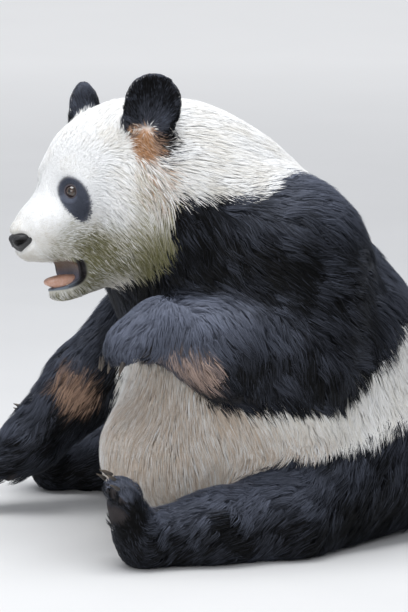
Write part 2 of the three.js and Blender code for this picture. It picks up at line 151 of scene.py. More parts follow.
# ------------------------------------------------------------------ skin
# The hide under the coat: one seamless shape over the whole body, from copies of the CAD's flesh
# that are closed up, smoothed and drawn inwards by the depth of the coat. The face is refined and
# shaped: sockets, lids, brows, lips and the wings of the nose.
OVERLAP = 0.003  # by how much the copies grow, so that they run into each other
VOXEL = 0.0067
NO_FLESH = ("claw", "eye", "nose", "tongue")
flesh_nodes = [name for name in sorted(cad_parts) if not name.startswith(NO_FLESH)]
filled_nodes = flesh_nodes + ["eye_left", "eye_right", "nose", "tongue"]


def arrays(mesh):
    """Places and normals of a mesh's points."""
    places = np.empty(len(mesh.vertices) * 3)
    normals = np.empty(len(mesh.vertices) * 3)
    mesh.vertices.foreach_get("co", places)
    mesh.vertex_normals.foreach_get("vector", normals)
    return places.reshape(-1, 3), normals.reshape(-1, 3)


def move_points(mesh, places):
    mesh.vertices.foreach_set("co", places.ravel())
    mesh.update()


def pick(*things):
    """Selects these objects only, and makes the first one active."""
    bpy.ops.object.select_all(action="DESELECT")
    for thing in things:
        thing.select_set(True)
    bpy.context.view_layer.objects.active = things[0]


def edit_all(step, **settings):
    """Does one step of edit mode on the whole of the active mesh."""
    bpy.ops.object.mode_set(mode="EDIT")
    bpy.ops.mesh.select_all(action="SELECT")
    step(**settings)
    bpy.ops.object.mode_set(mode="OBJECT")


def linked(name, mesh):
    """A new object in the scene from a mesh."""
    thing = bpy.data.objects.new(name, mesh)
    bpy.context.scene.collection.objects.link(thing)
    return thing


def copies_of(names, name):
    """One object from copies of CAD nodes, with their loose triangles merged."""
    copies = [linked(node + "_copy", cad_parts[node].data.copy()) for node in names]
    pick(*reversed(copies))
    bpy.ops.object.join()
    made = bpy.context.object
    made.name = name
    edit_all(bpy.ops.mesh.remove_doubles, threshold=1e-5)
    return made


def new_ball(name, segments, rings):
    """A round mesh of radius 1, and its points."""
    bpy.ops.mesh.primitive_uv_sphere_add(segments=segments, ring_count=rings, radius=1.0)
    thing = bpy.context.object
    thing.name = name
    return thing, arrays(thing.data)[0]


def cover(thing, material):
    """Gives an object one material in place of those it has."""
    mesh = thing.data
    mesh.materials.clear()
    mesh.materials.append(material)
    mesh.polygons.foreach_set("material_index", np.zeros(len(mesh.polygons), dtype=np.int32))


def finish_with(thing, kind, **settings):
    """Adds a modifier with its settings and applies it."""
    bpy.context.view_layer.objects.active = thing
    modifier = thing.modifiers.new(kind, kind)
    for key, value in settings.items():
        setattr(modifier, key, value)
    bpy.ops.object.modifier_apply(modifier=modifier.name)


def middle(node):
    low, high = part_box(node)
    return np.array((low + high) / 2)


def claws_of(limb):
    """The names of a limb's five claws, from one side of the paw to the other."""
    return [name for name in sorted(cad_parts) if name.startswith("claw_" + limb)]


def size_of(v):
    """The length of each vector."""
    return np.linalg.norm(v, axis=-1)


def unit(v):
    return v / np.maximum(size_of(v)[..., None], 1e-12)


def ramp(x, start, end):
    """0 before start, 1 after end, and smooth between."""
    t = np.clip((x - start) / (end - start), 0, 1)
    return t * t * (3 - 2 * t)


# The head's own axes: to its left, back and up. They come from where the eyes and the nose are.
NOSE_IN_HEAD = (0, -0.213, -0.105)
head_left = unit(middle("eye_left") - middle("eye_right"))
head_back = unit(np.cross((0, 0, 1), head_left))
head_axes = np.array((head_left, head_back, np.cross(head_left, head_back)))
head_at = middle("nose") - np.array(NOSE_IN_HEAD) @ head_axes


def in_head(places):
    return (places - head_at) @ head_axes.T


def from_head(places):
    return np.asarray(places) @ head_axes + head_at


def folded(q):
    """Places in the head's axes, with those of its right half mirrored to the left."""
    return np.abs(q[:, :1]) * (1, 0, 0) + q * (0, 1, 1)


# Which CAD node each point of the skin belongs to.
flesh_points = []
flesh_faces = []
face_node = []
for index, name in enumerate(flesh_nodes):
    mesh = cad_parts[name].data
    start = len(flesh_points)
    flesh_points += [v.co.copy() for v in mesh.vertices]
    flesh_faces += [[start + v for v in face.vertices] for face in mesh.polygons]
    face_node += [index] * len(mesh.polygons)
flesh_tree = BVHTree.FromPolygons(flesh_points, flesh_faces)


def nodes_at(places):
    return np.array([face_node[flesh_tree.find_nearest(p)[2]] for p in places.tolist()])


def by_node(owner, values, default):
    """A value for each point, from a table of values for kinds of node, such as thigh."""
    table = [next((v for k, v in values.items() if name.startswith(k)), default) for name in flesh_nodes]
    return np.array(table, dtype=float)[owner]


def on(owner, *kinds):
    """1 for the points of these kinds of node, and 0 for the rest."""
    return by_node(owner, dict.fromkeys(kinds, 1), 0)


def edges_of(mesh):
    pairs = np.empty(len(mesh.edges) * 2, dtype=np.int64)
    mesh.edges.foreach_get("vertices", pairs)
    return pairs.reshape(-1, 2)


def evened(values, pairs, rounds):
    """Values on a mesh's points, averaged with their neighbours a number of times."""
    values = values.astype(float)
    count = len(values)
    degree = np.bincount(pairs.ravel(), minlength=count)
    flat = values.reshape(count, -1)
    for _ in range(rounds):
        for c in range(flat.shape[1]):
            total = np.bincount(pairs[:, 0], weights=flat[pairs[:, 1], c], minlength=count)
            total += np.bincount(pairs[:, 1], weights=flat[pairs[:, 0], c], minlength=count)
            flat[:, c] = 0.5 * flat[:, c] + 0.5 * total / np.maximum(degree, 1)
    return flat.reshape(values.shape)


skin = copies_of(filled_nodes, "skin")

# The stretched cheeks close the back of the open mouth between the jaws.
CHEEKS_AT = np.array((0, -0.110, -0.163))
CHEEKS_SIZE = np.array((0.050, 0.060, 0.030))
cheeks, sphere = new_ball("cheeks", 48, 24)
move_points(cheeks.data, from_head(CHEEKS_AT + CHEEKS_SIZE * sphere))
pick(skin, cheeks)
bpy.ops.object.join()
finish_with(skin, "DISPLACE", strength=OVERLAP, mid_level=0.0)
finish_with(skin, "REMESH", mode="VOXEL", voxel_size=VOXEL)

# The facets of the trunk and limbs are smoothed away, and the head and paws only a little.
SMOOTH_ROUNDS = 70
SOFTNESS = {"head": 0.16, "lower_jaw": 0.1, "ear": 0.05, "forepaw": 0.16, "hindpaw": 0.16}
owner = nodes_at(arrays(skin.data)[0])
softness = by_node(owner, SOFTNESS | {"forearm": 0.6, "shin": 0.6, "tail": 0.5}, 1.0)
softness = evened(softness, edges_of(skin.data), 8)
group = skin.vertex_groups.new(name="softness")
for level in range(1, 11):
    chosen = np.nonzero(np.round(softness * 10) == level)[0]
    group.add(chosen.tolist(), level / 10, "REPLACE")
finish_with(skin, "SMOOTH", factor=0.5, iterations=SMOOTH_ROUNDS, vertex_group="softness")

# The mouth: a hollow carved out between the palate and the tongue's bed, with blunt corners where
# the cheeks are stretched between the jaws.
MOUTH_AT = np.array((0, -0.197, -0.163))
MOUTH_SIZE = np.array((0.060, 0.070, 0.026))
MOUTH_BLUNT = 3.2  # 2 would be a plain ellipsoid


def mouth_value(places):
    """1 on the wall of the mouth's hollow, less inside it and more outside."""
    shares = np.abs((places - MOUTH_AT) / MOUTH_SIZE)
    return np.sum(shares**MOUTH_BLUNT, axis=-1, keepdims=True) ** (1 / MOUTH_BLUNT)


whole_points, _ = arrays(skin.data)
skin.data.calc_loop_triangles()
whole_faces = [list(t.vertices) for t in skin.data.loop_triangles]
whole_tree = BVHTree.FromPolygons(whole_points.tolist(), whole_faces)
hollow, sphere = new_ball("hollow", 48, 24)
sphere = sphere * MOUTH_SIZE
move_points(hollow.data, from_head(MOUTH_AT + sphere / mouth_value(MOUTH_AT + sphere)))
finish_with(skin, "BOOLEAN", operation="DIFFERENCE", object=hollow, solver="EXACT")
bpy.data.objects.remove(hollow)
finish_with(skin, "REMESH", mode="VOXEL", voxel_size=VOXEL)
finish_with(skin, "SMOOTH", factor=0.5, iterations=3)

# Where the shape is fine, the faces are made smaller: the front of the face, and again round the
# eyes, the lips and the nose.
EYE_RADIUS = 0.014
SIDES = {"left": 1, "right": -1}
eye_places = {side: in_head(middle("eye_" + side)) for side in SIDES}
nose_place = in_head(middle("nose"))
NOSE_SIZE = np.array((0.030, 0.022, 0.018))


def eye_distance(q):
    return np.min([size_of(q - place) for place in eye_places.values()], axis=0)


def near_details(q):
    lips = (np.abs(mouth_value(q)[:, 0] - 1) < 0.22) & (q[:, 1] < -0.105)
    return (eye_distance(q) < 0.030) | (size_of(q - nose_place) < 0.034) | lips


def refine(thing, chosen):
    """Cuts the chosen faces into four."""
    thing.data.polygons.foreach_set("select", chosen)
    bpy.context.view_layer.objects.active = thing
    bpy.ops.object.mode_set(mode="EDIT")
    bpy.ops.mesh.select_mode(type="FACE")
    bpy.ops.mesh.subdivide(number_cuts=1)
    bpy.ops.object.mode_set(mode="OBJECT")


def face_places(mesh):
    centres = np.empty(len(mesh.polygons) * 3)
    mesh.polygons.foreach_get("center", centres)
    return in_head(centres.reshape(-1, 3))


for polygon_test in (lambda q: (q[:, 1] < -0.10) & (q[:, 2] < 0.03), near_details):
    for part in (skin.data.vertices, skin.data.edges, skin.data.polygons):
        part.foreach_set("select", np.zeros(len(part), dtype=bool))
    refine(skin, polygon_test(face_places(skin.data)))
    finish_with(skin, "SMOOTH", factor=0.5, iterations=2)


def dab(q, normals, at, reach, height):
    """Raises or sinks the surface round a place, as a soft brush does. All in the head's axes."""
    share = np.clip(1 - (size_of(q - at) / reach) ** 2, 0, 1) ** 2
    q += (share * height)[:, None] * normals


# Brushwork on both sides of the face: place, reach and height, in the head's axes. The brow and the
# rim of the socket, the hollow before the eye, the whisker pad, the crease behind it, the cheekbone,
# the corner of the mouth and the hanging upper lip.
BRUSHWORK = (
    ((0.050, -0.140, 0.006), 0.030, 0.0030),
    ((0.030, -0.158, -0.036), 0.016, -0.0020),
    ((0.030, -0.196, -0.124), 0.030, 0.0030),
    ((0.050, -0.150, -0.098), 0.028, -0.0030),
    ((0.074, -0.112, -0.050), 0.034, 0.0025),
    ((0.045, -0.116, -0.160), 0.018, -0.0020),
    ((0.034, -0.180, -0.138), 0.030, 0.0035),
)
PHILTRUM = ((0, -0.226, -0.122), 0.011, -0.0030)
BRIDGE = ((0, -0.230, -0.080), 0.026, 0.0065)

points, normals = arrays(skin.data)
q = in_head(points)
normals = normals @ head_axes.T
for at, reach, height in BRUSHWORK:
    for sign in SIDES.values():
        dab(q, normals, np.array(at) * (sign, 1, 1), reach, height)
dab(q, normals, *PHILTRUM)
dab(q, normals, *BRIDGE)

# The hide goes in behind the eyeballs and under the leather of the nose.
GAZE_OUT = math.radians(34)
GAZE = (math.sin(GAZE_OUT), -math.cos(GAZE_OUT), 0.0)
gazes = {side: np.array(GAZE) * (sign, 1, 1) for side, sign in SIDES.items()}
LID = 0.0016  # how thick a lid is
for side in SIDES:
    v = q - eye_places[side]
    r = size_of(v)
    facing = (v @ gazes[side]) / np.maximum(r, 1e-9)
    behind = ramp(facing, 0.58, 0.66)
    at_ball = np.maximum(r, EYE_RADIUS + 0.4 * LID) * (1 - behind) + 0.84 * EYE_RADIUS * behind
    share = ramp(r, 0.026, 0.020)
    q = eye_places[side] + v * ((at_ball * share + r * (1 - share)) / np.maximum(r, 1e-9))[:, None]
v = (q - nose_place) / NOSE_SIZE
r = size_of(v)
share = ramp(r, 1.35, 1.1)
q = nose_place + v * NOSE_SIZE * ((0.60 * share + r * (1 - share)) / np.maximum(r, 1e-9))[:, None]
move_points(skin.data, from_head(q))

# Depth of the coat over the hide, in metres, by kind of node. It fades towards the nose, the mouth
# and the floor, where the coat is pressed flat.
COAT_DEPTH = {
    "head": 0.012, "lower_jaw": 0.004, "ear": 0.003, "neck": 0.016, "forearm": 0.014,
    "forepaw": 0.009, "shin": 0.012, "hindpaw": 0.006, "thigh": 0.015, "tail": 0.024,
}
BODY_DEPTH = 0.018
SHRUNK = 0.002  # what the growth less the smoothing has added, taken off again


def depth_in_head(place):
    """How deep a place is in the head as it was before the mouth was carved."""
    at, normal, _, distance = whole_tree.find_nearest(place)
    return distance if (Vector(place) - at).dot(normal) < 0 else 0.0


points, normals = arrays(skin.data)
pairs = edges_of(skin.data)
owner = nodes_at(points)
q = in_head(points)
in_mouth = np.array([depth_in_head(p) for p in points.tolist()]) * (mouth_value(q)[:, 0] < 1.25)
depth = by_node(owner, COAT_DEPTH, BODY_DEPTH)
face_depth = 0.0015 + 0.0105 * ramp(q[:, 1], -0.20, -0.03)
depth = np.where(on(owner, "head", "lower_jaw") > 0, np.minimum(depth, face_depth), depth)
depth = evened(depth, pairs, 24) + SHRUNK * (1 - by_node(owner, {"ear": 0.3}, 0))
depth *= ramp(points[:, 2], -0.004, 0.035) * (1 - ramp(in_mouth, 0.001, 0.004))
depth = np.minimum(depth, 0.001 + 0.2 * np.maximum(eye_distance(q) - 0.018, 0))
depth = np.minimum(depth, 0.001 + 0.3 * np.maximum(size_of(q - nose_place) - 0.03, 0))
depth = evened(depth, pairs, 6) * (1 - ramp(in_mouth, 0.001, 0.004))
normals = unit(evened(normals, pairs, 4))
move_points(skin.data, points - normals * depth[:, None])
points, _ = arrays(skin.data)
# The flesh of the tail tapers, so that its end is hair.
taper = evened(on(owner, "tail") * ramp(points[:, 2], 0.080, 0.015), pairs, 6)
points[:, :2] += 0.8 * taper[:, None] * (middle("tail")[:2] - points[:, :2])
points[:, 2] = np.maximum(points[:, 2], 0.0)
move_points(skin.data, points)
pick(skin)
bpy.ops.object.shade_smooth()


# ------------------------------------------------------------------ marks and colours of the coat
# Hide and fur carry the same marks. Black: ears, eye patches, arms, a band over the shoulders, the
# breast and the hind legs. The rest is white, stained olive, brown and earthy by food and earth; its grey is
# partly stain and partly painted shade.
PATCH_FROM_EYE = np.array((0.008, -0.005, -0.014))  # in the head's axes
PATCH_HALF = (0.0192, 0.040)  # across and along
PATCH_TILT = math.radians(12)
EAR_BARE = (np.array((0.122, -0.026, 0.045)), 0.026)  # the pale brown hollow before the ear's root
# The black hair behind that hollow: the ends of its middle line, and its reach.
EAR_LOBE = (np.array((0.136, -0.004, 0.062)), np.array((0.143, -0.014, 0.030)), 0.017)
NAPE_LOW = 0.608
NAPE_BACK = -0.030
WHITE_DEPTH = -0.1  # the depth in a mark of a node that is white all over
BLACK_DEPTH = 0.02  # and of one that is black all over
# The black band's lower edge sinks from the breast to the flanks and rises again to the back.
BAND_BACK = (-0.45, -0.35, -0.24, -0.08, 0.00, 0.06, 0.16)
BAND_LOW = (0.325, 0.325, 0.335, 0.295, 0.345, 0.385, 0.375)


def wavy(places, size, seed):
    """A soft random value from about -1 to 1 that changes over a distance of about size."""
    x, y, z = (places / size + seed).T
    first = np.sin(1.3 * x + 1.7 * np.sin(0.9 * y + seed)) * np.cos(1.1 * z + 1.3 * np.sin(0.7 * x))
    second = np.sin(2.3 * y + 1.1 * np.sin(1.9 * z)) * np.cos(2.9 * x + seed)
    return 0.65 * first + 0.35 * second


def blackness(places, owner):
    """How far inside a black mark a point is, in metres, and less than 0 outside them all."""
    x, y, z = places.T
    nape = np.minimum(z - NAPE_LOW, (NAPE_BACK - 0.85 * np.abs(x) - y) / 1.31)
    band = np.minimum(z - np.interp(y, BAND_BACK, BAND_LOW), -nape)
    inside = np.where(on(owner, "head", "lower_jaw", "tail") > 0, WHITE_DEPTH, BLACK_DEPTH)
    inside = np.where(on(owner, "abdomen", "chest", "neck") > 0, band, inside)
    q = in_head(places)
    sided = folded(q)
    v = sided - eye_places["left"] - PATCH_FROM_EYE
    across = math.cos(PATCH_TILT) * v[:, 1] + math.sin(PATCH_TILT) * v[:, 2]
    along = math.cos(PATCH_TILT) * v[:, 2] - math.sin(PATCH_TILT) * v[:, 1]
    near = np.sqrt((v[:, 0] / 0.05) ** 2 + (across / PATCH_HALF[0]) ** 2 + (along / PATCH_HALF[1]) ** 2)
    inside = np.where(on(owner, "head") > 0, np.maximum(inside, PATCH_HALF[0] * (1 - near)), inside)
    hollow = size_of(sided - EAR_BARE[0]) - EAR_BARE[1]
    inside = np.where(on(owner, "ear") > 0, np.minimum(inside, hollow), inside)
    top, low, reach = EAR_LOBE
    down = np.clip((sided - top) @ (low - top) / np.sum((low - top) ** 2), 0, 1)
    lobe = reach - size_of(sided - top - down[:, None] * (low - top))
    return np.where((np.abs(q[:, 0]) > 0.09) & (q[:, 1] < 0.06), np.maximum(inside, lobe), inside)


# Each stain: its middle, its reach, its tint and its strength. Those of the head are on both sides.
# The grey ones, and the strongest olive under the cheeks, are partly painted shade.
HEAD_STAINS_AND_SHADE = (
    ((0.066, -0.104, -0.130), 0.058, "olive", 0.80),
    ((0.055, -0.112, -0.176), 0.062, "olive", 0.62),
    ((0.090, -0.060, -0.150), 0.090, "olive", 0.45),
    ((0.105, -0.012, -0.150), 0.088, "olive", 0.82),
    ((0.000, -0.150, -0.215), 0.060, "olive", 0.40),
    ((0.122, -0.030, 0.042), 0.036, "brown", 1.00),
    ((0.130, -0.030, -0.030), 0.060, "brown", 0.18),
    ((0.115, -0.040, -0.050), 0.070, "grey_and_shade", 0.35),
    ((0.040, -0.165, -0.135), 0.040, "grey_and_shade", 0.28),
    ((0.060, -0.120, -0.150), 0.080, "grey_and_shade", 0.45),
    ((0.115, -0.010, -0.140), 0.105, "grey_and_shade", 1.00),
)
BODY_STAINS_AND_SHADE = (
    ((0.060, -0.320, 0.170), 0.200, "earth", 0.75),
    ((0.220, -0.230, 0.160), 0.150, "earth", 0.60),
    ((0.220, -0.330, 0.270), 0.100, "earth", 0.95),
    ((0.000, 0.000, 0.120), 0.260, "grey_and_shade", 0.30),
    ((-0.155, -0.436, 0.232), 0.052, "brown", 0.95),
    ((0.268, -0.385, 0.332), 0.053, "pink", 0.95),
    ((0.233, -0.428, 0.335), 0.030, "pink", 0.70),
)
TINTS = ("olive", "brown", "grey_and_shade", "pink", "earth")


def stain_and_shade(places, tint):
    """How strong a tint is, from 0 to 1."""
    total = np.zeros(len(places))
    for stains, where in ((HEAD_STAINS_AND_SHADE, folded(in_head(places))), (BODY_STAINS_AND_SHADE, places)):
        for at, reach, name, strength in stains:
            if name == tint:
                r = size_of(where - at) + 0.3 * reach * wavy(places, 0.6 * reach, 4.0)
                total = np.maximum(total, strength * ramp(r, reach, 0.35 * reach))
    return total


# Painted light: the hair of the raised forearm is made paler, as where the light falls on it.
PAINTED_LIGHT_ARM = (0.26, -0.44, 0.42)  # the raised forearm, paler than the rest
PAINTED_LIGHT_REACH = 0.145


def painted_light_and_tone(places, normals, black):
    """How bright the hair is: painted light and shade, lighter where it faces the sky and darker where it
    faces the ground, with a random tone, and painted light on the raised forearm.
    """
    up = normals[:, 2]
    bright = np.where(black, 0.04 + 0.72 * np.maximum(up, 0) ** 1.5, 0.60 + 0.29 * up)
    bright = bright + 0.14 * (0.6 + 0.4 * ~black) * wavy(places, 0.03, 2.0)
    return bright + 0.58 * ramp(size_of(places - PAINTED_LIGHT_ARM), PAINTED_LIGHT_REACH, 0.4 * PAINTED_LIGHT_REACH)


def add_values(mesh, name, values):
    attribute = mesh.attributes.new(name, "FLOAT", "POINT")
    attribute.data.foreach_set("value", np.ascontiguousarray(values, dtype=np.float32))


# Bare pads of dark leather: one under the end of each toe and a broad one behind them. A sole faces
# one way and its toes point another.
SOLES = {
    "arm_left": ((0, 0.21, -0.98), (0, -0.98, -0.21)),
    "arm_right": ((0, 0.64, -0.77), (0, -0.77, -0.64)),
    "leg_left": ((0, -0.91, -0.41), (0, -0.41, 0.91)),
    "leg_right": ((0, -0.91, -0.41), (0, -0.41, 0.91)),
}
TOE_PAD = (0.026, 0.011)  # how far behind the claw's middle, and its reach
BROAD_PAD = (0.062, 0.021, 0.023)  # the same, and how far apart its lobes are
PAD_HEIGHT = 0.0045

points, normals = arrays(skin.data)
pad = np.zeros(len(points))
for limb, (sole, ahead) in SOLES.items():
    claw_places = np.array([middle(name) for name in claws_of(limb)])
    sideways = unit(claw_places[-1] - claw_places[0])
    centres = [(place - TOE_PAD[0] * np.array(ahead), TOE_PAD[1]) for place in claw_places]
    broad = claw_places.mean(axis=0) - BROAD_PAD[0] * np.array(ahead)
    centres += [(broad + BROAD_PAD[2] * lobe * sideways, BROAD_PAD[1]) for lobe in (-1, 0, 1)]
    for centre, reach in centres:
        v = points - centre
        off = v @ np.array(sole)
        r = size_of(v - off[:, None] * np.array(sole))
        under = ramp(normals @ np.array(sole), 0.15, 0.45) * (np.abs(off) < 0.06)
        pad = np.maximum(pad, under * ramp(r, 1.05 * reach, 0.7 * reach))
move_points(skin.data, np.maximum(points + PAD_HEIGHT * pad[:, None] * normals, (-9, -9, 0)))
points, normals = arrays(skin.data)
add_values(skin.data, "pad", pad)
skin.data.calc_loop_triangles()
corners = np.empty(len(skin.data.loop_triangles) * 3, dtype=np.int64)
skin.data.loop_triangles.foreach_get("vertices", corners)
corners = corners.reshape(-1, 3)
q = in_head(points)
furry = 1 - evened(by_node(owner, {"head": 1, "ear": 0.8, "lower_jaw": 1, "forepaw": 0.3}, 0), pairs, 10)
mark = blackness(points, owner) + (0.1 + 0.9 * furry) * 0.005 * wavy(points, 0.016, 3.0)
add_values(skin.data, "mark", evened(ramp(mark, -0.002, 0.002), pairs, 1))
for tint in TINTS:
    add_values(skin.data, tint, stain_and_shade(points, tint))
lips = ramp(mouth_value(q)[:, 0], 1.24, 1.16) * (q[:, 1] < -0.10)
# White hair hides the lip at the front of the upper jaw.
lips *= 1 - ramp(q[:, 2], -0.152, -0.142) * ramp(q[:, 1], -0.130, -0.148)
add_values(skin.data, "lips", lips)
# Painted highlight: the front of the lower lip is paler and blue-grey, as a wet lip shines.
add_values(skin.data, "painted_lip_highlight", ramp(q[:, 1], -0.125, -0.155) * ramp(q[:, 2], -0.168, -0.180))
add_values(skin.data, "flesh", ramp(in_mouth, 0.004, 0.009))
add_values(skin.data, "palate", ramp(q[:, 2], -0.172, -0.150))
to_eye = eye_distance(q)
# Painted light: the hair and hide are made brighter near the eyes.
painted_light_near_eye = 0.42 * ramp(to_eye, 0.105, 0.050)
# The hide's tone carries the same painted light and shade as the hair over it.
add_values(skin.data, "tone_and_painted_light", painted_light_and_tone(points, normals, mark > 0) + painted_light_near_eye)
add_values(skin.data, "along", np.full(len(points), 0.8))

# The colours of the coat as a node group: masks go in, one colour comes out. The dull and bright
# white and the deep and bright black stand for painted shade and painted light as well as the hair's own
# tone.
WHITE_DULL_AND_SHADED = (0.70, 0.66, 0.58)
WHITE_BRIGHT_AND_LIT = (0.93, 0.935, 0.935)
OLIVE = (0.17, 0.162, 0.068)
BROWN = (0.44, 0.23, 0.11)
GREY_AND_SHADE = (0.33, 0.31, 0.20)
EARTH = (0.62, 0.51, 0.41)
BLACK_DEEP_AND_SHADED = (0.003, 0.003, 0.003)
BLACK_BRIGHT_AND_LIT = (0.153, 0.171, 0.228)
RUSTY = (0.40, 0.26, 0.185)
PINKISH = (0.50, 0.37, 0.31)
ROOT_SHADE = 0.88

coat_shades = bpy.data.node_groups.new("coat_shades", "ShaderNodeTree")
COAT_MASKS = ("Mark", "Olive", "Brown", "Grey_and_shade", "Pink", "Earth", "Tone_and_painted_light", "Along")
for socket in COAT_MASKS:
    coat_shades.interface.new_socket(socket, in_out="INPUT", socket_type="NodeSocketFloat")
coat_shades.interface.new_socket("Color", in_out="OUTPUT", socket_type="NodeSocketColor")
masks = coat_shades.nodes.new("NodeGroupInput")
result = coat_shades.nodes.new("NodeGroupOutput")


def mixed(tree, factor, first, second, blend="MIX"):
    """A colour mix. first and second are colours, or sockets that give one."""
    node = tree.nodes.new("ShaderNodeMix")
    node.data_type = "RGBA"
    node.blend_type = blend
    feed(tree, node.inputs["Factor"], factor)
    for name, value in (("A", first), ("B", second)):
        feed(tree, next(s for s in node.inputs if s.name == name and s.type == "RGBA"), value)
    return next(s for s in node.outputs if s.type == "RGBA")


white = mixed(coat_shades, masks.outputs["Tone_and_painted_light"], WHITE_DULL_AND_SHADED, WHITE_BRIGHT_AND_LIT)
for tint, colour in (("Grey_and_shade", GREY_AND_SHADE), ("Earth", EARTH), ("Olive", OLIVE), ("Brown", BROWN)):
    white = mixed(coat_shades, masks.outputs[tint], white, colour)
dark = mixed(coat_shades, masks.outputs["Tone_and_painted_light"], BLACK_DEEP_AND_SHADED, BLACK_BRIGHT_AND_LIT)
for tint, colour in (("Brown", RUSTY), ("Pink", PINKISH)):
    dark = mixed(coat_shades, masks.outputs[tint], dark, colour)
coloured = mixed(coat_shades, masks.outputs["Mark"], white, dark)
# Painted shade: the hair is darker towards its roots, and the hide under it a little.
shaded = added(coat_shades, "MapRange", "Result", Value=masks.outputs["Along"], To_Min=ROOT_SHADE)
coloured = mixed(coat_shades, 1.0, coloured, shaded, blend="MULTIPLY")
coat_shades.links.new(coloured, result.inputs["Color"])


def attribute(tree, name):
    return added(tree, "Attribute", "Fac", attribute_name=name)


def coat_colour(tree):
    """The coat's colour in a material, from the attributes of the mesh."""
    shades = tree.nodes.new("ShaderNodeGroup")
    shades.node_tree = coat_shades
    for socket in COAT_MASKS:
        tree.links.new(attribute(tree, socket.lower()), shades.inputs[socket])
    return shades.outputs["Color"]


def bumped(tree, shader, scale, distance, strength=0.6, kind="TexNoise", output="Fac"):
    """Fine relief from a noise on the piece's own coordinates."""
    where = added(tree, "TexCoord", "Object")
    height = added(tree, kind, output, Vector=where, Scale=scale, Detail=3.0)
    bump = added(tree, "Bump", "Normal", Height=height, Distance=distance, Strength=strength)
    feed(tree, shader.inputs["Normal"], bump)
    return height


LIP_COLOUR = (0.018, 0.015, 0.017)
CHEEK_FLESH = (0.12, 0.120, 0.160)
PALATE_FLESH = (0.13, 0.075, 0.045)
LIP_PAINTED_HIGHLIGHT = (0.16, 0.19, 0.23)
PAD_COLOUR = (0.035, 0.030, 0.031)
hide, tree, shader = new_material("hide", Specular_IOR_Level=0.2)
colour = mixed(tree, attribute(tree, "pad"), coat_colour(tree), PAD_COLOUR)
# Painted highlight on the front of the lower lip.
lip = mixed(tree, attribute(tree, "painted_lip_highlight"), LIP_COLOUR, LIP_PAINTED_HIGHLIGHT)
colour = mixed(tree, attribute(tree, "lips"), colour, lip)
inner = mixed(tree, attribute(tree, "palate"), CHEEK_FLESH, PALATE_FLESH)
colour = mixed(tree, attribute(tree, "flesh"), colour, inner)
feed(tree, shader.inputs["Base Color"], colour)
bumped(tree, shader, scale=260.0, distance=0.0015)
wet = added(tree, "MapRange", "Result", Value=attribute(tree, "lips"), To_Min=0.8, To_Max=0.34)
feed(tree, shader.inputs["Roughness"], wet)
cover(skin, hide)
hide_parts(*flesh_nodes)
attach(skin, "root")


# ------------------------------------------------------------------ lids
# Bare dark lids round each eye: a soft rim of hide that rests on the eyeball, joined to the skin.
# The upper lid is thicker and hangs a little lower towards the nose.
LID_STEPS = 48
LID_ROUND = 12
OPEN_WIDE = math.radians(47)
OPEN_HIGH = math.radians(44)
BLUNT = 2.2  # 2 would open the lids in an ellipse
LID_WIDE = math.radians(11)  # half of the rim's width, seen from the eyeball's middle

lid, tree, shader = new_material("lid", Roughness=0.34, Coat_Weight=0.3)
LID_DARK = (0.022, 0.018, 0.021)
LID_PAINTED_LIGHT = (0.12, 0.105, 0.125)
bumped(tree, shader, scale=900.0, distance=0.0006)
# Painted light: the lids are paler at the rim round the eye's opening.
feed(tree, shader.inputs["Base Color"], mixed(tree, attribute(tree, "wet"), LID_DARK, LID_PAINTED_LIGHT))


def ball_axes(side):
    """An eyeball's axes in the world: across, up and along the gaze."""
    gaze = gazes[side]
    across = unit(np.cross(gaze, (0, 0, 1)))
    return np.array((across, np.cross(across, gaze), gaze)) @ head_axes


for side in SIDES:
    places = []
    wet = []
    for step in range(LID_STEPS):
        turn = 2 * math.pi * step / LID_STEPS
        out, up = math.cos(turn), math.sin(turn)
        reach = (abs(out / OPEN_WIDE) ** BLUNT + abs(up / OPEN_HIGH) ** BLUNT) ** (-1 / BLUNT)
        thick = LID * (1.15 + 0.35 * max(up, 0))
        for k in range(LID_ROUND):
            phase = 2 * math.pi * k / LID_ROUND
            off_axis = reach + LID_WIDE * (1 - math.cos(phase))
            far = EYE_RADIUS + 0.0002 + thick * (0.5 + math.sin(phase)) * (0.75 + 0.25 * math.cos(phase))
            aside = far * math.sin(off_axis)
            places.append((aside * out, aside * up, far * math.cos(off_axis)))
            # How much painted light the lid gets, most at the rim round the opening.
            wet.append(max(math.cos(phase), 0) ** 2)
    grid = np.arange(LID_STEPS * LID_ROUND).reshape(LID_STEPS, LID_ROUND)
    ahead = np.roll(grid, -1, axis=0)
    loops = np.stack((grid, np.roll(grid, -1, axis=1), np.roll(ahead, -1, axis=1), ahead), axis=2)
    mesh = bpy.data.meshes.new("lids_" + side)
    lid_points = np.array(places) @ ball_axes(side) + middle("eye_" + side)
    mesh.from_pydata(lid_points.tolist(), [], loops.reshape(-1, 4).tolist())
    add_values(mesh, "wet", np.array(wet))
    mesh.materials.append(lid)
    rim = linked("lids_" + side, mesh)
    pick(rim)
    edit_all(bpy.ops.mesh.normals_make_consistent, inside=False)
    bpy.ops.object.shade_smooth()
    pick(skin, rim)
    bpy.ops.object.join()


# ------------------------------------------------------------------ eyes
# Wet dark brown eyes: a ball with a bulging clear front over the iris, and the upright slit pupil
# of the species. The white of the eye is brown at its edge and hardly shows.
BULGE = math.radians(40)
BULGE_HIGH = 0.0013
IRIS = 0.0092  # half of its width
PUPIL = (0.0022, 0.0052)  # half of its width and height

